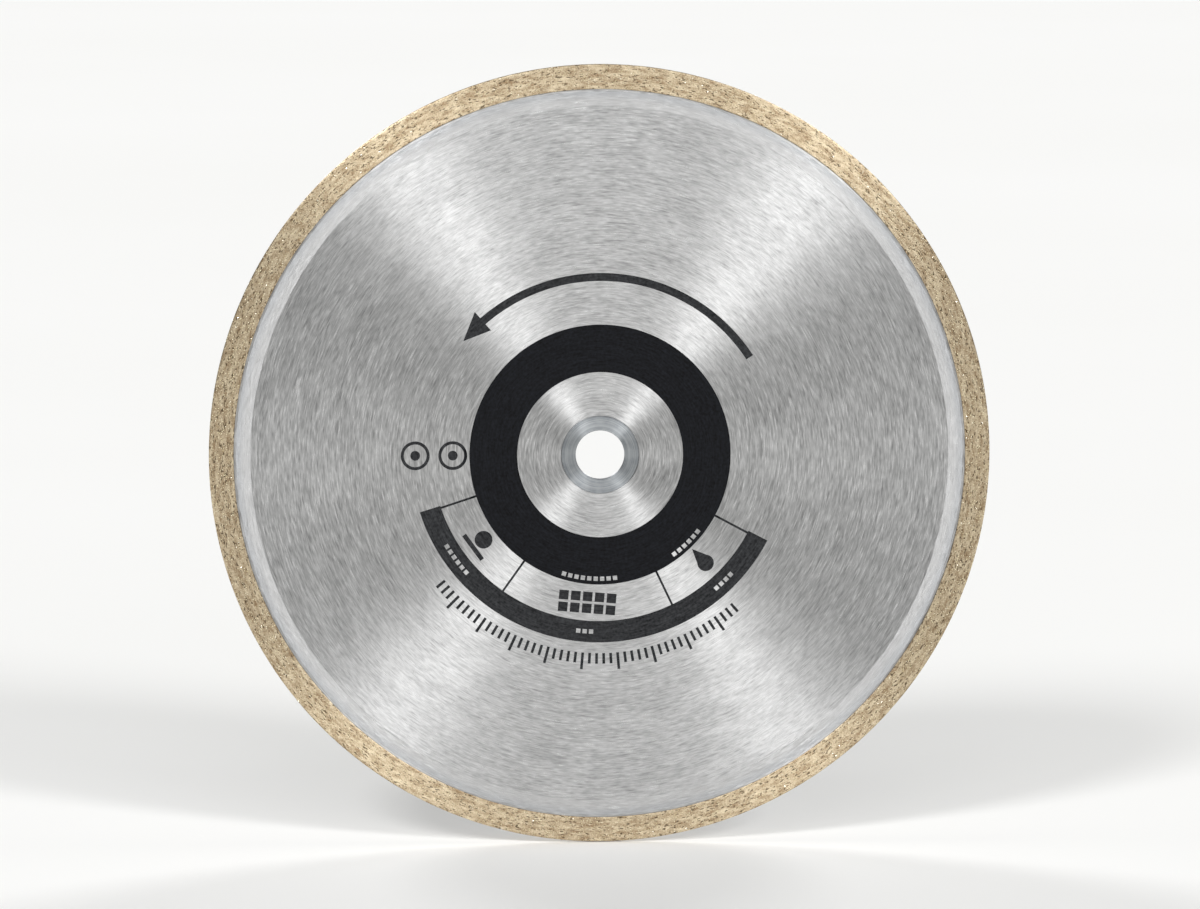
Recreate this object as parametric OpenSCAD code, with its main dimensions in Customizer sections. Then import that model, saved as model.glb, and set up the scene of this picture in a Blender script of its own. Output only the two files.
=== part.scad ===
// Diamond blade for wet cutting of tile and stone: a steel core, a continuous
// sintered rim with its diamond crystals, a printed face and a reducing bush in the bore.
// The blade stands upright, as it cuts: the axis is Y, the printed face
// looks towards -Y, and the origin is the middle of the bore.

/* [Blade] */
// Outside diameter of the blade
blade_d = 254; // [230:1:300]

/* [Rim] */
// Radial height of the sintered rim
rim_h = 8; // [6:0.5:10]
// Thickness of the rim
rim_t = 2; // [1.9:0.1:2.6]
// Chamfer on the rim's outer corners
rim_chamfer = 0.25; // [0.1:0.05:0.4]

/* [Core] */
// Thickness of the steel core
core_t = 1.6; // [1.5:0.1:1.8]
// Bore of the bare core, 1 in
core_bore_d = 25.4; // [24:0.1:30]
// Chamfer on the core's bore
core_chamfer = 0.2; // [0.1:0.05:0.3]
// Width of the ground band beside the rim
relief_w = 5.5; // [3:0.5:8]
// Depth of the ground band at the rim, each side
relief_drop = 0.1; // [0.05:0.05:0.2]

/* [Tongue inside the rim] */
// Height of the core's tongue inside the rim
tongue_h = 2.5; // [1.5:0.5:4]
// Thickness of the tongue
tongue_t = 0.8; // [0.6:0.1:1]
// Number of key slots around the tongue
key_count = 48; // [24:1:60]
// Width of one key slot
key_w = 4; // [2:0.5:6]
// Solid foot of the tongue under each slot
key_foot = 0.6; // [0.5:0.1:1]

/* [Bush] */
// Bore of the reducing bush, 5/8 in
arbor_d = 15.875; // [12:0.005:20]
// Thickness of the bush, a little less than the core
bush_t = 1.5; // [1.2:0.05:1.5]
// Radial gap between bush and core
bush_gap = 0.03; // [0.02:0.01:0.05]
// Chamfer on the bush's corners
bush_chamfer = 0.15; // [0.1:0.05:0.2]

/* [Diamond grit] */
// Half length of one crystal, corner to centre
grit_r = 0.35; // [0.2:0.05:0.4]
// Depth of a crystal's centre under the surface
grit_depth = 0.15; // [0.1:0.05:0.2]
// Crystals drawn on each face of the rim
grit_count = 120; // [60:10:160]

/* [Print] */
// Thickness of the ink, let into the face so that the face stays flat
ink_t = 0.1; // [0.05:0.05:0.2]
// Turn of the print from upright, as the blade stopped
print_turn = -5; // [-180:1:180]
// Radius of the bare seat around the bore, inside the print
seat_r = 27; // [22:0.5:30]
// Outside of the black disc
disc_r = 42.5; // [40:0.5:44]
// Inside of the black band
band_in_r = 54.5; // [53:0.5:56]
// Outside of the black band
band_out_r = 61.5; // [60:0.5:63]
// Half angle of the band, from its middle
band_half = 67.5; // [60:0.5:75]
// Half angle of the middle window
window_half = 30.5; // [25:0.5:35]
// Width of the rules between windows
rule_w = 0.7; // [0.4:0.1:1]

/* [Hidden] */
$fn = 96;

rim_r = blade_d / 2;
core_r = rim_r - rim_h;
bush_r = core_bore_d / 2 - bush_gap;
cut_past = 0.2;               // how far a cutter runs past the face that it opens
join = 0.2;                   // how far joined drawings run into each other
sector_step = 45;             // widest straight side of a sector, in degrees
sector_reach = 1.2;           // reach of a sector past the ring that it cuts

// Angles of the print, seen from the front, counter-clockwise from +X
print_axis = 270;
side_window = (band_half + window_half) / 2;   // middle of a side window, from the axis
window_r = (disc_r + band_in_r) / 2;           // middle of the windows
band_r = (band_in_r + band_out_r) / 2;         // middle of the band

// Rows of blocks in the place of lettering: angle from the print's axis, and number of blocks
block = 1.4;                  // width of one block
block_pitch = 2.1;            // distance between blocks
disc_rows_r = disc_r - 1.9;
disc_rows = [[0, 9], [side_window, 6]];
band_rows = [[-side_window, 6], [0, 3], [side_window, 4]];

// Graduations outside the band
tick_in_r = band_out_r + 3.5;
tick_long = 5.5;
tick_short = 3.5;
tick_w = 0.9;
tick_step = 2;                // degrees
tick_half = 46;               // half angle of the row
tick_every = 5;               // each fifth tick is a long one

// Signs
drop_r = 2.7;
drop_tip = 6.4;               // tip of the drop above its round middle
drop_out = 1;                 // shift of the drop from the middle of its window
disc_sign_r = 2.9;            // disc of the small cutting sign
disc_sign_up = 1.6;
bar_sign = [10, 1.5];         // bar of the small cutting sign
bar_sign_down = 2.6;
tile = 3.1;                   // one tile of the tile sign
tile_pitch = 3.9;
tile_columns = 5;
tile_rows = 2;
ring_sign = [3.7, 4.7];       // plain ring sign, inside and outside radius
ring_dot_r = 1.6;
ring_places = [disc_r + 5.4, disc_r + 17.6];   // distance of the ring signs from the axis
ring_angle = 185;             // direction of the ring signs before the print's turn

// Arrow that shows which way the blade turns
arrow_from = 38;
arrow_to = 136;
arrow_w = 2.6;
arrow_head_w = 8;
arrow_head_deg = 9;

// Directions that spread points evenly
golden = 0.618034;
tilt_step = 67;               // turn from one crystal to the next, in degrees

function polar(r, a) = [r * cos(a), r * sin(a)];
function fraction(x) = x - floor(x);

// Turns a blade that lies on XY upright, with its front to -Y
module upright() {
    rotate([90, 0, 0]) children();
}

module ring_2d(r_in, r_out) {
    difference() {
        circle(r_out);
        circle(r_in);
    }
}

// A stretch of a ring, from angle a to angle b
module arc_2d(r_in, r_out, a, b) {
    steps = ceil((b - a) / sector_step);
    reach = sector_reach * r_out;
    intersection() {
        ring_2d(r_in, r_out);
        polygon(concat([[0, 0]], [for (i = [0 : steps]) polar(reach, a + (b - a) * i / steps)]));
    }
}

// Places a drawing on the print, its top towards the bore
module on_print(r, a) {
    rotate(a + 90) translate([0, -r]) children();
}

module rule_2d(a) {
    on_print(window_r, a) square([rule_w, band_in_r - disc_r + 2 * join], center = true);
}

module block_rows_2d(r, rows) {
    pitch_deg = block_pitch / r * 180 / PI;
    for (row = rows, i = [0 : row[1] - 1])
        on_print(r, print_axis + row[0] + (i - (row[1] - 1) / 2) * pitch_deg) square(block, center = true);
}

module drop_2d() {
    neck = drop_r - join / 2;
    lean = acos(neck / drop_tip);
    circle(drop_r);
    polygon([[0, drop_tip], polar(neck, 90 + lean), [0, 0], polar(neck, 90 - lean)]);
}

module cutting_sign_2d() {
    translate([0, disc_sign_up]) circle(disc_sign_r);
    translate([0, -bar_sign_down]) square(bar_sign, center = true);
}

module tile_sign_2d() {
    for (i = [0 : tile_columns - 1], j = [0 : tile_rows - 1])
        translate([(i - (tile_columns - 1) / 2) * tile_pitch, (j - (tile_rows - 1) / 2) * tile_pitch])
            square(tile, center = true);
}

module ring_sign_2d() {
    ring_2d(ring_sign[0], ring_sign[1]);
    circle(ring_dot_r);
}

module ticks_2d() {
    count = floor(tick_half / tick_step);
    for (i = [-count : count]) {
        long = i % tick_every == 0 ? tick_long : tick_short;
        on_print(tick_in_r + long / 2, print_axis + i * tick_step) square([tick_w, long], center = true);
    }
}

module turn_arrow_2d() {
    arc_2d(band_r - arrow_w / 2, band_r + arrow_w / 2, arrow_from, arrow_to);
    polygon([
        polar(band_r - arrow_head_w / 2, arrow_to),
        polar(band_r + arrow_head_w / 2, arrow_to),
        polar(band_r, arrow_to + arrow_head_deg)
    ]);
}

// The black disc, the band and the rules between them
module label_field_2d() {
    end_rule = band_half - asin(rule_w / band_in_r);
    difference() {
        ring_2d(seat_r, disc_r);
        block_rows_2d(disc_rows_r, disc_rows);
    }
    difference() {
        arc_2d(band_in_r, band_out_r, print_axis - band_half, print_axis + band_half);
        block_rows_2d(band_r, band_rows);
    }
    for (side = [-1, 1], a = [window_half, end_rule]) rule_2d(print_axis + side * a);
}

module print_2d() {
    rotate(print_turn) {
        label_field_2d();
        on_print(window_r, print_axis - side_window) cutting_sign_2d();
        on_print(window_r, print_axis) tile_sign_2d();
        on_print(window_r + drop_out, print_axis + side_window) drop_2d();
        for (r = ring_places) rotate(ring_angle) translate([r, 0]) ring_sign_2d();
        ticks_2d();
        turn_arrow_2d();
    }
}

// The tongue that the rim is sintered over, with its key slots open
module tongue() {
    slot_in = core_r + key_foot;
    difference() {
        rotate_extrude() translate([core_r, -tongue_t / 2]) square([tongue_h, tongue_t]);
        for (i = [0 : key_count - 1])
            rotate(i * 360 / key_count)
                translate([slot_in, -key_w / 2, -tongue_t])
                    cube([tongue_h, key_w, 2 * tongue_t]);
    }
}

module core_blank() {
    bore_r = core_bore_d / 2;
    half = core_t / 2;
    edge = half - relief_drop;
    band = core_r - relief_w;
    rotate_extrude() polygon([
        [bore_r, half - core_chamfer], [bore_r + core_chamfer, half], [band, half], [core_r, edge],
        [core_r, -edge], [band, -half], [bore_r + core_chamfer, -half], [bore_r, core_chamfer - half]
    ]);
}

module steel_core() {
    color("#b9b9b7") upright() difference() {
        union() {
            core_blank();
            tongue();
        }
        translate([0, 0, core_t / 2 - ink_t]) linear_extrude(ink_t + cut_past) print_2d();
    }
}

module diamond_rim() {
    half = rim_t / 2;
    color("#b4a387") upright() difference() {
        rotate_extrude() polygon([
            [core_r, -half], [rim_r - rim_chamfer, -half], [rim_r, rim_chamfer - half],
            [rim_r, half - rim_chamfer], [rim_r - rim_chamfer, half], [core_r, half]
        ]);
        tongue();
    }
}

// One diamond crystal: an octahedron
module crystal(turn) {
    a = grit_r;
    rotate([turn, 2 * turn, 0]) polyhedron(
        points = [[a, 0, 0], [-a, 0, 0], [0, a, 0], [0, -a, 0], [0, 0, a], [0, 0, -a]],
        faces = [
            [4, 2, 0], [4, 1, 2], [4, 3, 1], [4, 0, 3],
            [5, 0, 2], [5, 2, 1], [5, 1, 3], [5, 3, 0]
        ]
    );
}

// Crystals half buried in both sides and in the cutting edge of the rim
module diamond_grit() {
    margin = 2 * grit_r;
    step = 360 / grit_count;
    color("#e3ddc8") upright() for (i = [0 : grit_count - 1]) {
        share = fraction(i * golden);
        side_r = core_r + margin + share * (rim_h - 3 * margin);
        edge_z = (share - 0.5) * (rim_t - 2 * rim_chamfer - margin);
        turn = i * tilt_step;
        for (s = [-1, 1])
            rotate(i * step + s * step / 4)
                translate([side_r, 0, s * (rim_t / 2 - grit_depth)]) crystal(turn);
        rotate(i * step) translate([rim_r - grit_depth, 0, edge_z]) crystal(turn);
    }
}

module printed_face() {
    color("#1d1e22") upright() translate([0, 0, core_t / 2 - ink_t]) linear_extrude(ink_t) print_2d();
}

module reducing_bush() {
    half = bush_t / 2;
    in_r = arbor_d / 2;
    c = bush_chamfer;
    color("#a8aaad") upright() rotate_extrude() polygon([
        [in_r, c - half], [in_r + c, -half], [bush_r - c, -half], [bush_r, c - half],
        [bush_r, half - c], [bush_r - c, half], [in_r + c, half], [in_r, half - c]
    ]);
}

steel_core();
diamond_rim();
diamond_grit();
printed_face();
reducing_bush();
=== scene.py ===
import math

import bpy
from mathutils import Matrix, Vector


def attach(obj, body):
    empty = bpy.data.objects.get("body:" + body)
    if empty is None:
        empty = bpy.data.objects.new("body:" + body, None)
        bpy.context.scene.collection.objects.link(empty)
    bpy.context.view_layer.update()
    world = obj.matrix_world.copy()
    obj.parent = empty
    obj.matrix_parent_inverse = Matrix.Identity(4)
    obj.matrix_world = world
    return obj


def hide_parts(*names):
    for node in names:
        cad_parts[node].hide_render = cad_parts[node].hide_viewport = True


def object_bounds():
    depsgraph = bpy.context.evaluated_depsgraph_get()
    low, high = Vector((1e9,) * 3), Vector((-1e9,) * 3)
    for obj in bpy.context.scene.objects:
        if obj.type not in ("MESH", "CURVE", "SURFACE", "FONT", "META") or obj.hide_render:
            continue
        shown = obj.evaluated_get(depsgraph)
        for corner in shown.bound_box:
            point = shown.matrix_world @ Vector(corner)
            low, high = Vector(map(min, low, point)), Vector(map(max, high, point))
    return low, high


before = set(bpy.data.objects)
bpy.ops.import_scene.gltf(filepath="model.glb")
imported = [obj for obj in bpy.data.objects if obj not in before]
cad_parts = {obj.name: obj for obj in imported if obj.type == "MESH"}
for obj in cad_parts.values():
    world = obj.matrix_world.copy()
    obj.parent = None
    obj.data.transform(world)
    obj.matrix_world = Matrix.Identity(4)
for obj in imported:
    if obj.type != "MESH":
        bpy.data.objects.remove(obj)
cad_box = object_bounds()

# A diamond blade, standing on its rim. Its axis is Y and its printed face looks towards -Y.
# Sizes are in metres.
MM = 0.001


# Sizes read from the frame

def corners(node):
    """Each corner of a node: its distance from the axis, and its place along the axis."""
    return [(math.hypot(v.co.x, v.co.z), v.co.y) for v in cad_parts[node].data.vertices]


# A corner or a wall is told by its place, with a little to spare. The shallow relief band leaves less.
SPARE = 0.1 * MM
RELIEF_SPARE = 0.01 * MM

rim_corners = corners("diamond_rim")
RIM_IN = min(distance for distance, along in rim_corners)
RIM_OUT = max(distance for distance, along in rim_corners)
RIM_HALF = max(along for distance, along in rim_corners)

# The core's flat faces end where the relief band beside the rim begins. Its tongue fills the rim's groove.
core_corners = corners("steel_core")
CORE_HALF = max(along for distance, along in core_corners)
RELIEF_IN = max(distance for distance, along in core_corners if along > CORE_HALF - RELIEF_SPARE)
TONGUE_OUT = max(distance for distance, along in core_corners)
TONGUE_HALF = max(along for distance, along in core_corners if distance > RIM_IN + SPARE)

BLADE_LOW = cad_box[0].z

# Finer sizes that only the look needs
RIM_CORNER = 0.35 * MM
RIM_INNER_CORNER = 0.15 * MM
# Just outside the printed disc, in the gap before the printed band
DISC_END = 44 * MM


# Colours and nodes

def srgb(code):
    """Linear colour, with alpha, of a hex sRGB code such as "#b4b3b0"."""
    parts = [int(code[i:i + 2], 16) / 255 for i in (1, 3, 5)]
    return [p / 12.92 if p <= 0.04045 else ((p + 0.055) / 1.055) ** 2.4 for p in parts] + [1.0]


def add(tree, kind, inputs=None, **settings):
    """Adds a node with its settings. Its inputs, by name or number, are values, sockets or nodes.

    A node stands for the first of its outputs that is in use."""
    node = tree.nodes.new(kind)
    for name, value in settings.items():
        setattr(node, name, value)
    for name, value in (inputs or {}).items():
        if isinstance(value, bpy.types.Node):
            value = next(socket for socket in value.outputs if socket.enabled)
        if isinstance(value, bpy.types.NodeSocket):
            tree.links.new(value, node.inputs[name])
        else:
            node.inputs[name].default_value = value
    return node


def new_material(name):
    """A material with an empty tree: the material, its tree, and the place on the piece."""
    material = bpy.data.materials.new(name)
    material.use_nodes = True
    tree = material.node_tree
    tree.nodes.clear()
    place = add(tree, "ShaderNodeTexCoord").outputs["Object"]
    return material, tree, place


def distance_from_axis(tree, place):
    """How far a place is from the blade's axis."""
    flat = add(tree, "ShaderNodeVectorMath", {0: place, 1: (1, 0, 1)}, operation="MULTIPLY")
    return add(tree, "ShaderNodeVectorMath", {0: flat}, operation="LENGTH")


def ground_lines(tree, place, length, width, detail=2.0):
    """Noise from 0 to 1, drawn out into arcs about the axis, as a turning wheel leaves them."""
    per_length = (1 / length, 0, 1 / length)
    along = add(tree, "ShaderNodeVectorMath", {0: place, 1: per_length}, operation="MULTIPLY")
    distance = distance_from_axis(tree, place)
    outwards = add(tree, "ShaderNodeMath", {0: distance, 1: 1 / width}, operation="MULTIPLY")
    outwards = add(tree, "ShaderNodeCombineXYZ", {"Y": outwards})
    vector = add(tree, "ShaderNodeVectorMath", {0: along, 1: outwards}, operation="ADD")
    through = add(tree, "ShaderNodeSeparateXYZ", {0: place}).outputs["Y"]
    through = add(tree, "ShaderNodeMath", {0: through, 1: 1 / width}, operation="MULTIPLY")
    return add(tree, "ShaderNodeTexNoise", {
        "Vector": vector, "W": through, "Scale": 1.0, "Detail": detail}, noise_dimensions="4D")


def toned(tree, value, low, high, dark, pale):
    """A colour that runs from dark, where the value is low, to pale, where it is high."""
    share = add(tree, "ShaderNodeMapRange", {"Value": value, "From Min": low, "From Max": high})
    return add(tree, "ShaderNodeMix", {
        "Factor": share, "A": srgb(dark), "B": srgb(pale)}, data_type="RGBA")


# Materials

# Anisotropic Rotation, as a share of a turn. Lines in circles spread the light outwards, a quarter turn off
# the circles. Lines across the circles spread it along them.
LINES_IN_CIRCLES = 0.25
LINES_ACROSS = -0.025


def ground_core_steel():
    """Alloy steel sheet, surface ground in circles, so that it mirrors the light in bright fans.

    The relief band beside the rim was also lapped across the circles, in fine stretches, so it stays
    pale where the face is dull. It turns faintly blue towards the rim, where the sintering heated it.
    Its last strip was ground in circles again, together with the rim, and the corner beside the rim is
    darkened with painted shade.
    Real grinding lines are some hundredths of a millimetre wide. They are drawn coarser here, to show."""
    material, tree, place = new_material("ground_core_steel")
    hair = ground_lines(tree, place, length=6 * MM, width=0.11 * MM, detail=1.0)
    fine = ground_lines(tree, place, length=3.4 * MM, width=0.32 * MM, detail=3.0)
    broad = ground_lines(tree, place, length=3 * MM, width=0.8 * MM)
    cloud = ground_lines(tree, place, length=11 * MM, width=6 * MM)
    close = add(tree, "ShaderNodeMix", {"Factor": 0.35, "A": fine, "B": hair})
    lines = add(tree, "ShaderNodeMix", {"Factor": 0.3, "A": close, "B": broad})
    lines = add(tree, "ShaderNodeMix", {"Factor": 0.15, "A": lines, "B": cloud})

    # Where the band, its last strip, the heat and the painted corner shade are, by distance from the axis
    distance = distance_from_axis(tree, place)
    in_relief = add(tree, "ShaderNodeMapRange", {
        "Value": distance, "From Min": RELIEF_IN - 0.1 * MM, "From Max": RELIEF_IN + 0.15 * MM})
    by_rim = add(tree, "ShaderNodeMapRange", {
        "Value": distance, "From Min": RIM_IN - 0.9 * MM, "From Max": RIM_IN - 0.7 * MM})
    in_relief = add(tree, "ShaderNodeMath", {0: in_relief, 1: by_rim}, operation="SUBTRACT")
    heated = add(tree, "ShaderNodeMapRange", {
        "Value": distance, "From Min": RELIEF_IN + 2 * MM, "From Max": RIM_IN, "To Max": 0.5})
    # Painted shade: a dark line in the corner where the core meets the rim's step
    painted_corner_shade = add(tree, "ShaderNodeMapRange", {
        "Value": distance, "From Min": RIM_IN - 0.4 * MM, "From Max": RIM_IN - 0.1 * MM,
        "To Max": 0.25})
    stretches = ground_lines(tree, place, length=3 * MM, width=0.06 * MM, detail=1.0)
    lapped = add(tree, "ShaderNodeMapRange", {
        "Value": stretches, "From Min": 0.43, "From Max": 0.49, "To Max": in_relief})

    # The lines run from dark and rough to pale and smooth, over the range that their noise mostly has
    low, high = 0.36, 0.64
    face = toned(tree, lines, low, high, "#909090", "#d6d6d6")
    band = toned(tree, lines, low, high, "#c8c8c8", "#e1e1e1")
    band = add(tree, "ShaderNodeMix", {
        "Factor": heated, "A": band, "B": srgb("#b0b5bb")}, data_type="RGBA")
    colour = add(tree, "ShaderNodeMix", {
        "Factor": in_relief, "A": face, "B": band}, data_type="RGBA")
    # Darkens that corner with the painted shade
    colour = add(tree, "ShaderNodeMix", {
        "Factor": painted_corner_shade, "A": colour, "B": srgb("#5d5750")}, data_type="RGBA")
    rough = add(tree, "ShaderNodeMapRange", {
        "Value": close, "From Min": low, "From Max": high, "To Min": 0.48, "To Max": 0.26})
    rough = add(tree, "ShaderNodeMix", {"Factor": lapped, "A": rough, "B": 0.85})
    turn = add(tree, "ShaderNodeMix", {
        "Factor": lapped, "A": LINES_IN_CIRCLES, "B": LINES_ACROSS})
    bump = add(tree, "ShaderNodeBump", {"Height": close, "Strength": 0.2, "Distance": 0.05 * MM})
    tangent = add(tree, "ShaderNodeTangent", direction_type="RADIAL", axis="Y")
    shader = add(tree, "ShaderNodeBsdfPrincipled", {
        "Base Color": colour, "Metallic": 1.0, "Roughness": rough, "Normal": bump,
        "Anisotropic": 0.94, "Anisotropic Rotation": turn, "Tangent": tangent})
    add(tree, "ShaderNodeOutputMaterial", {"Surface": shader})
    return material


def turned_bush_steel():
    """Zinc plated mild steel, turned: greyer and cooler than the core, with tool marks in circles.

    Real marks are about a tenth of a millimetre apart. They are drawn coarser here, to show."""
    material, tree, place = new_material("turned_bush_steel")
    marks = ground_lines(tree, place, length=40 * MM, width=0.3 * MM, detail=4.0)
    cloud = add(tree, "ShaderNodeTexNoise", {"Vector": place, "Scale": 1 / (3 * MM), "Detail": 2.0})
    shade = add(tree, "ShaderNodeMix", {"Factor": 0.3, "A": marks, "B": cloud})
    colour = toned(tree, shade, 0.3, 0.7, "#6f7479", "#b6b9bb")
    rough = add(tree, "ShaderNodeMapRange", {"Value": marks, "To Min": 0.26, "To Max": 0.46})
    bump = add(tree, "ShaderNodeBump", {"Height": marks, "Strength": 0.4, "Distance": 0.08 * MM})
    tangent = add(tree, "ShaderNodeTangent", direction_type="RADIAL", axis="Y")
    shader = add(tree, "ShaderNodeBsdfPrincipled", {
        "Base Color": colour, "Metallic": 1.0, "Roughness": rough, "Normal": bump,
        "Anisotropic": 0.85, "Anisotropic Rotation": LINES_IN_CIRCLES, "Tangent": tangent})
    add(tree, "ShaderNodeOutputMaterial", {"Surface": shader})
    return material


def screen_print_ink():
    """Black screen printing ink: matte, full in the disc, thinner and greyer outside it.

    The steel's grinding lines and the screen's mesh leave it uneven. Both are drawn coarser, to show."""
    material, tree, place = new_material("screen_print_ink")
    lines = ground_lines(tree, place, length=4 * MM, width=0.4 * MM)
    mesh = add(tree, "ShaderNodeTexNoise", {"Vector": place, "Scale": 1 / (0.9 * MM), "Detail": 3.0})
    uneven = add(tree, "ShaderNodeMix", {"Factor": 0.5, "A": lines, "B": mesh})
    outside = add(tree, "ShaderNodeMapRange", {
        "Value": distance_from_axis(tree, place), "From Min": DISC_END, "From Max": DISC_END + 1 * MM})
    low, high = 0.35, 0.7
    disc = toned(tree, uneven, low, high, "#010102", "#17191e")
    band = toned(tree, uneven, low, high, "#0e0f11", "#3a3b3d")
    colour = add(tree, "ShaderNodeMix", {"Factor": outside, "A": disc, "B": band}, data_type="RGBA")
    rough = add(tree, "ShaderNodeMapRange", {"Value": uneven, "To Min": 0.4, "To Max": 0.6})
    bump = add(tree, "ShaderNodeBump", {"Height": uneven, "Strength": 0.1, "Distance": 0.05 * MM})
    shader = add(tree, "ShaderNodeBsdfPrincipled", {
        "Base Color": colour, "Roughness": rough, "Normal": bump, "Specular IOR Level": 0.12})
    add(tree, "ShaderNodeOutputMaterial", {"Surface": shader})
    return material


def sintered_bronze():
    """Hot pressed bronze powder, dressed on a stone: sand coloured and dull, with dark pores drawn out
    along the cut and pale smears between them.

    It is brighter where the core has its fans, and the diamond dust in it whitens the gleam there.
    Real powder and pores are about a tenth of a millimetre across. They are drawn coarser, to show."""
    material, tree, place = new_material("sintered_bronze")
    smear = ground_lines(tree, place, length=3.5 * MM, width=1.2 * MM)
    powder = add(tree, "ShaderNodeTexNoise", {
        "Vector": place, "Scale": 1 / (0.5 * MM), "Detail": 2.0})
    hollow = ground_lines(tree, place, length=1.2 * MM, width=0.45 * MM, detail=1.0)
    mixed = add(tree, "ShaderNodeMix", {"Factor": 0.4, "A": smear, "B": powder})
    metal = toned(tree, mixed, 0.35, 0.65, "#957d5f", "#deceb0")
    pores = add(tree, "ShaderNodeMapRange", {
        "Value": hollow, "From Min": 0.34, "From Max": 0.43, "To Min": 0.85, "To Max": 0.0})
    colour = add(tree, "ShaderNodeMix", {
        "Factor": pores, "A": metal, "B": srgb("#4a3d29")}, data_type="RGBA")
    rough = add(tree, "ShaderNodeMapRange", {"Value": mixed, "To Min": 0.32, "To Max": 0.44})
    height = add(tree, "ShaderNodeMath", {0: powder, 1: pores}, operation="SUBTRACT")
    bump = add(tree, "ShaderNodeBump", {"Height": height, "Strength": 0.4, "Distance": 0.12 * MM})
    tangent = add(tree, "ShaderNodeTangent", direction_type="RADIAL", axis="Y")
    shader = add(tree, "ShaderNodeBsdfPrincipled", {
        "Base Color": colour, "Metallic": 0.85, "Roughness": rough, "Normal": bump,
        "Specular IOR Level": 1.0, "Anisotropic": 0.85,
        "Anisotropic Rotation": LINES_IN_CIRCLES, "Tangent": tangent})
    add(tree, "ShaderNodeOutputMaterial", {"Surface": shader})
    return material


def synthetic_diamond():
    """Yellow synthetic diamond: small hard facets that glint, each crystal a little paler or deeper."""
    material, tree, place = new_material("synthetic_diamond")
    shade = add(tree, "ShaderNodeTexNoise", {"Vector": place, "Scale": 1 / (2 * MM)})
    colour = toned(tree, shade, 0.0, 1.0, "#c9b878", "#efe9cf")
    shader = add(tree, "ShaderNodeBsdfPrincipled", {
        "Base Color": colour, "Roughness": 0.12, "IOR": 2.42})
    add(tree, "ShaderNodeOutputMaterial", {"Surface": shader})
    return material


# Pieces grown by geometry nodes

def new_tree(name, sizes):
    """A geometry tree with an input for each named size: the tree, and its inputs by name."""
    tree = bpy.data.node_groups.new(name, "GeometryNodeTree")
    tree.interface.new_socket("Geometry", in_out="OUTPUT", socket_type="NodeSocketGeometry")
    tree.interface.new_socket("Geometry", in_out="INPUT", socket_type="NodeSocketGeometry")
    for label, value in sizes.items():
        kind = "NodeSocketInt" if isinstance(value, int) else "NodeSocketFloat"
        tree.interface.new_socket(label, in_out="INPUT", socket_type=kind)
    return tree, add(tree, "NodeGroupInput").outputs


def end_tree(tree, geometry, material):
    """Ends a geometry tree: real meshes for its instances, all in one material."""
    whole = add(tree, "GeometryNodeRealizeInstances", {"Geometry": geometry})
    dressed = add(tree, "GeometryNodeSetMaterial", {"Geometry": whole, "Material": material})
    add(tree, "NodeGroupOutput", {"Geometry": dressed})


def grown(name, mesh, tree, sizes):
    """The plain mesh object that a geometry tree makes of a mesh."""
    piece = bpy.data.objects.new(name, mesh)
    bpy.context.scene.collection.objects.link(piece)
    modifier = piece.modifiers.new(tree.name, "NODES")
    modifier.node_group = tree
    for item in tree.interface.items_tree:
        if item.in_out == "INPUT" and item.name in sizes:
            modifier[item.identifier] = sizes[item.name]
    shape = piece.evaluated_get(bpy.context.evaluated_depsgraph_get())
    result = bpy.data.meshes.new_from_object(shape)
    piece.modifiers.remove(modifier)
    piece.data = result
    result.name = name
    return piece


def in_groove(tree, place, given):
    """1 at the walls of the rim's groove, which the core's tongue fills, and 0 on faces that show."""
    distance = distance_from_axis(tree, place)
    near = add(tree, "ShaderNodeMath", {0: distance, 1: given["Groove Edge"]}, operation="LESS_THAN")
    across = add(tree, "ShaderNodeSeparateXYZ", {0: place}).outputs["Y"]
    across = add(tree, "ShaderNodeMath", {0: across}, operation="ABSOLUTE")
    deep = add(tree, "ShaderNodeMath", {0: across, 1: given["Groove Half"]}, operation="LESS_THAN")
    return add(tree, "ShaderNodeMath", {0: near, 1: deep}, operation="MULTIPLY")


GROOVE = {"Groove Edge": TONGUE_OUT + SPARE, "Groove Half": TONGUE_HALF + SPARE}


def rim_section():
    """The rim's cross-section with the groove for the tongue: x from its inner edge out, y across."""
    height = RIM_OUT - RIM_IN
    groove = TONGUE_OUT - RIM_IN
    outline = [
        (0, -TONGUE_HALF), (0, -RIM_HALF), (height, -RIM_HALF), (height, RIM_HALF),
        (0, RIM_HALF), (0, TONGUE_HALF), (groove, TONGUE_HALF), (groove, -TONGUE_HALF)]
    mesh = bpy.data.meshes.new("rim_section")
    sides = [(i, (i + 1) % len(outline)) for i in range(len(outline))]
    mesh.from_pydata([(x, y, 0) for x, y in outline], sides, [])
    return mesh


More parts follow.
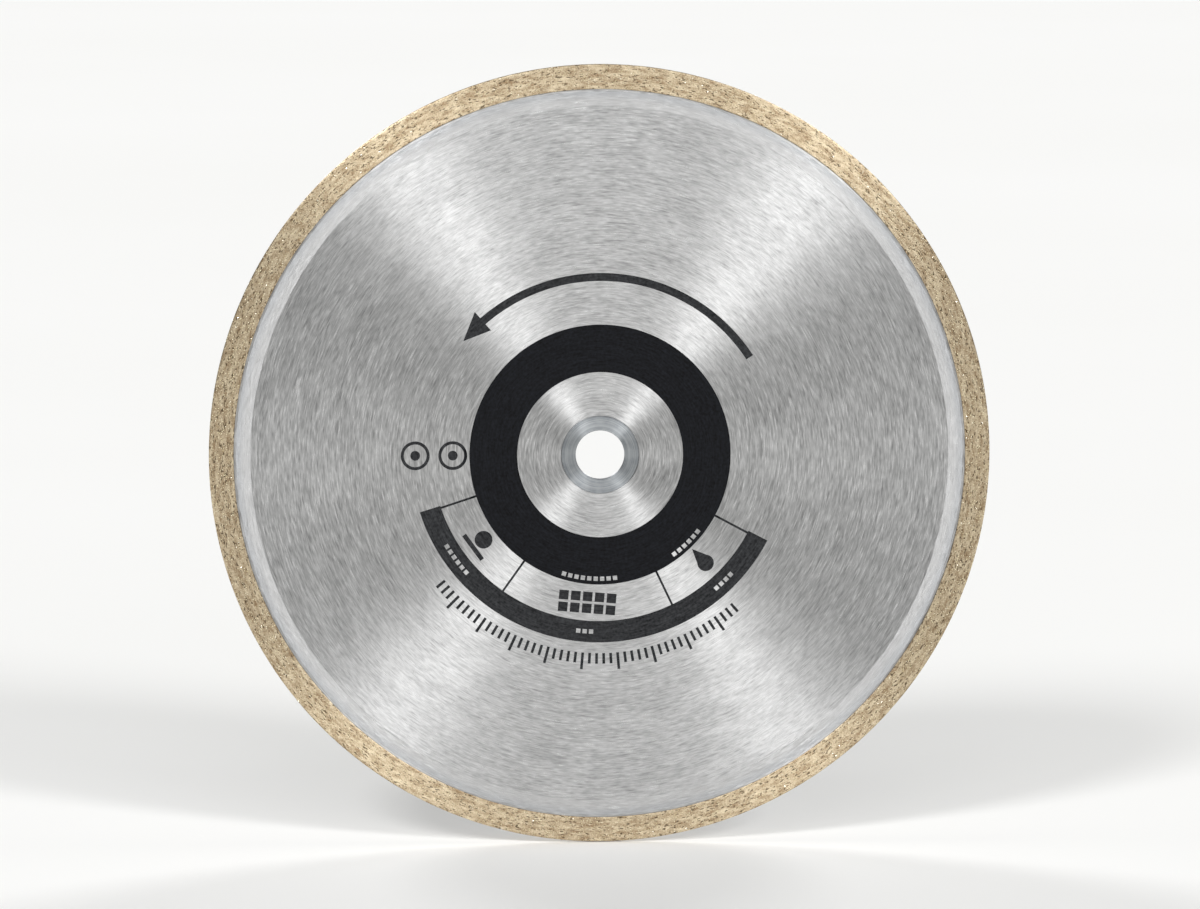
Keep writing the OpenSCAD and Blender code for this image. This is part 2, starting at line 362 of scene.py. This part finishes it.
def rounded_section(tree, given):
    """Rounds the corners that show, and cuts the sides between them into short stretches."""
    section = add(tree, "GeometryNodeMeshToCurve", {"Mesh": given["Geometry"]})
    place = add(tree, "GeometryNodeInputPosition").outputs[0]
    parts = add(tree, "ShaderNodeSeparateXYZ", {0: place}).outputs
    across = add(tree, "ShaderNodeMath", {0: parts["Y"]}, operation="ABSOLUTE")
    shows = add(tree, "ShaderNodeMath", {
        0: across, 1: given["Groove Half"]}, operation="GREATER_THAN")

    outer = add(tree, "ShaderNodeMath", {0: parts["X"], 1: given["Middle"]}, operation="GREATER_THAN")
    radius = add(tree, "ShaderNodeMix", {
        "Factor": outer, "A": given["Inner Corner"], "B": given["Outer Corner"]})
    radius = add(tree, "ShaderNodeMath", {0: radius, 1: shows}, operation="MULTIPLY")
    count = add(tree, "ShaderNodeMath", {0: given["Corner Points"], 1: shows}, operation="MULTIPLY")
    rounded = add(tree, "GeometryNodeFilletCurve", {
        "Curve": section, "Radius": radius, "Count": count, "Limit Radius": True}, mode="POLY")

    following = add(tree, "GeometryNodeOffsetPointInCurve", {"Offset": 1}).outputs["Point Index"]
    ahead = add(tree, "GeometryNodeFieldAtIndex", {
        "Index": following, "Value": place}, data_type="FLOAT_VECTOR")
    run = add(tree, "ShaderNodeVectorMath", {0: place, 1: ahead}, operation="DISTANCE")
    cuts = add(tree, "ShaderNodeMath", {0: run, 1: given["Point Spacing"]}, operation="DIVIDE")
    cuts = add(tree, "ShaderNodeMath", {0: cuts, 1: shows}, operation="MULTIPLY")
    return add(tree, "GeometryNodeSubdivideCurve", {"Curve": rounded, "Cuts": cuts})


def roughened(tree, given, geometry):
    """Lifts and sinks the faces that show, by the grain of the pressed powder."""
    place = add(tree, "GeometryNodeInputPosition").outputs[0]
    frequency = add(tree, "ShaderNodeMath", {0: 1.0, 1: given["Grain"]}, operation="DIVIDE")
    grain = add(tree, "ShaderNodeTexNoise", {"Vector": place, "Scale": frequency, "Detail": 2.0})
    lift = add(tree, "ShaderNodeMath", {0: grain, 1: -0.5}, operation="ADD")
    lift = add(tree, "ShaderNodeMath", {0: lift, 1: given["Relief"]}, operation="MULTIPLY")
    normal = add(tree, "GeometryNodeInputNormal").outputs[0]
    offset = add(tree, "ShaderNodeVectorMath", {0: normal, "Scale": lift}, operation="SCALE")
    inside = in_groove(tree, place, given)
    shows = add(tree, "ShaderNodeMath", {0: 1.0, 1: inside}, operation="SUBTRACT")
    return add(tree, "GeometryNodeSetPosition", {
        "Geometry": geometry, "Selection": shows, "Offset": offset})


def sintered_rim(material):
    """Sweeps the cross-section round the blade and roughens it."""
    sizes = {
        "Inner Radius": RIM_IN, "Middle": 0.5 * (RIM_OUT - RIM_IN), "Segments": 1500,
        "Outer Corner": RIM_CORNER, "Inner Corner": RIM_INNER_CORNER, "Corner Points": 3,
        "Point Spacing": 0.4 * MM, "Grain": 1.3 * MM, "Relief": 0.08 * MM, **GROOVE}
    tree, given = new_tree("sintered_rim", sizes)
    path = add(tree, "GeometryNodeCurvePrimitiveCircle", {
        "Resolution": given["Segments"], "Radius": given["Inner Radius"]})
    swept = add(tree, "GeometryNodeCurveToMesh", {
        "Curve": path, "Profile Curve": rounded_section(tree, given)})
    upright = add(tree, "GeometryNodeTransform", {
        "Geometry": swept, "Rotation": (math.radians(90), 0, 0)})
    end_tree(tree, roughened(tree, given, upright), material)
    return grown("sintered_rim", rim_section(), tree, sizes)


def diamond_crystals(rim_mesh, material):
    """Scatters cuboctahedra over the rim's faces, each turned its own way and more than half sunk."""
    sizes = {
        "Per Square Metre": 0.86e6, "Spacing": 0.5 * MM, "Crystal": 0.4 * MM, "Least Scale": 0.55,
        "Sunk": 0.16 * MM, "Inner Edge": RIM_IN + 0.5 * MM, **GROOVE}
    tree, given = new_tree("diamond_crystals", sizes)
    place = add(tree, "GeometryNodeInputPosition").outputs[0]
    distance = distance_from_axis(tree, place)
    outside = add(tree, "ShaderNodeMath", {
        0: distance, 1: given["Inner Edge"]}, operation="GREATER_THAN")
    inside = in_groove(tree, place, given)
    shows = add(tree, "ShaderNodeMath", {0: outside, 1: inside}, operation="SUBTRACT")
    points = add(tree, "GeometryNodeDistributePointsOnFaces", {
        "Mesh": given["Geometry"], "Selection": shows, "Distance Min": given["Spacing"],
        "Density Max": given["Per Square Metre"], "Seed": 7}, distribute_method="POISSON")

    scale = add(tree, "FunctionNodeRandomValue", {
        "Min": given["Least Scale"], "Max": 1.0, "Seed": 5}, data_type="FLOAT")
    depth = add(tree, "ShaderNodeMath", {0: given["Sunk"], 1: scale}, operation="MULTIPLY")
    depth = add(tree, "ShaderNodeMath", {0: depth, 1: -1.0}, operation="MULTIPLY")
    offset = add(tree, "ShaderNodeVectorMath", {
        0: points.outputs["Normal"], "Scale": depth}, operation="SCALE")
    lowered = add(tree, "GeometryNodeSetPosition", {"Geometry": points, "Offset": offset})

    side = given["Crystal"]
    size = add(tree, "ShaderNodeCombineXYZ", {"X": side, "Y": side, "Z": side})
    cube = add(tree, "GeometryNodeMeshCube", {"Size": size})
    edge_middles = add(tree, "GeometryNodeMeshToPoints", {"Mesh": cube}, mode="EDGES")
    crystal = add(tree, "GeometryNodeConvexHull", {"Geometry": edge_middles})
    turn = add(tree, "FunctionNodeRandomValue", {
        "Min": (0, 0, 0), "Max": (math.tau, math.tau, math.tau), "Seed": 3}, data_type="FLOAT_VECTOR")
    set_in = add(tree, "GeometryNodeInstanceOnPoints", {
        "Points": lowered, "Instance": crystal, "Rotation": turn, "Scale": scale})
    end_tree(tree, set_in, material)
    return grown("diamond_crystals", rim_mesh, tree, sizes)


# The blade

rim = sintered_rim(sintered_bronze())
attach(rim, "blade")
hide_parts("diamond_rim")

crystals = diamond_crystals(rim.data, synthetic_diamond())
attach(crystals, "blade")
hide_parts("diamond_grit")

finishes = {
    "steel_core": ground_core_steel(),
    "printed_face": screen_print_ink(),
    "reducing_bush": turned_bush_steel()}
for node, material in finishes.items():
    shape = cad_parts[node].data
    shape.materials.clear()
    shape.materials.append(material)


# The studio: a pale floor, three soft lamps in front of the blade and two behind it

def matte_floor():
    """White matte paper, so the blade's soft shadow is all that shows on it."""
    material, tree, place = new_material("matte_floor")
    shade = add(tree, "ShaderNodeTexNoise", {"Vector": place, "Scale": 2.0})
    colour = toned(tree, shade, 0.0, 1.0, "#eeeeec", "#f1f1f0")
    shader = add(tree, "ShaderNodeBsdfPrincipled", {
        "Base Color": colour, "Roughness": 0.9, "Specular IOR Level": 0.0})
    add(tree, "ShaderNodeOutputMaterial", {"Surface": shader})
    return material


def floor_plane(size):
    """A square floor under the blade, so wide that it fills the view up to the horizon."""
    half = size / 2
    mesh = bpy.data.meshes.new("floor")
    mesh.from_pydata(
        [(x, y, BLADE_LOW) for x, y in ((-half, -half), (half, -half), (half, half), (-half, half))],
        [], [(0, 1, 2, 3)])
    mesh.materials.append(matte_floor())
    piece = bpy.data.objects.new("floor", mesh)
    bpy.context.scene.collection.objects.link(piece)


def aimed_from(piece, place):
    """Puts a lamp or the camera at a place, turned to the middle of the blade."""
    piece.location = place
    piece.rotation_euler = (-place).to_track_quat("-Z", "Y").to_euler()
    bpy.context.scene.collection.objects.link(piece)


def far_softbox(name, around, tilt, across, power):
    """A round lamp far away, as wide as the angle across: around is its angle about the blade's axis,
    and tilt its angle off the axis, all in degrees."""
    lamp = bpy.data.lights.new(name, "SUN")
    lamp.angle = math.radians(across)
    lamp.energy = power
    a, t = math.radians(around), math.radians(tilt)
    place = Vector((math.sin(t) * math.cos(a), -math.cos(t), math.sin(t) * math.sin(a)))
    aimed_from(bpy.data.objects.new(name, lamp), place)


def photo_camera(azimuth, elevation, away, frame_width):
    """The photo's camera: azimuth to the right of the blade's front, elevation above it, in degrees."""
    camera = bpy.data.cameras.new("photo_camera")
    camera.lens = camera.sensor_width * away / frame_width
    camera.clip_end = 200.0
    a, e = math.radians(azimuth), math.radians(elevation)
    place = Vector((math.sin(a) * math.cos(e), -math.cos(a) * math.cos(e), math.sin(e))) * away
    piece = bpy.data.objects.new("photo_camera", camera)
    aimed_from(piece, place)
    bpy.context.scene.camera = piece


floor_plane(size=60.0)
# The right and left lamps draw the bright fans on the steel, and the top one fills the rest
far_softbox("softbox_right", around=42, tilt=41, across=13, power=1.24)
far_softbox("softbox_left", around=125.5, tilt=41, across=13, power=1.34)
far_softbox("softbox_top", around=85, tilt=32, across=40, power=0.82)
far_softbox("softbox_back_right", around=48, tilt=139, across=20, power=1.1)
far_softbox("softbox_back_left", around=132, tilt=139, across=20, power=1.1)
photo_camera(azimuth=-3.0, elevation=6.3, away=2.7, frame_width=0.39)

scene = bpy.context.scene
scene.world = bpy.data.worlds.new("studio")
scene.world.use_nodes = True
background = scene.world.node_tree.nodes["Background"].inputs
background["Color"].default_value = srgb("#ffffff")
background["Strength"].default_value = 0.21
scene.view_settings.view_transform = "Standard"
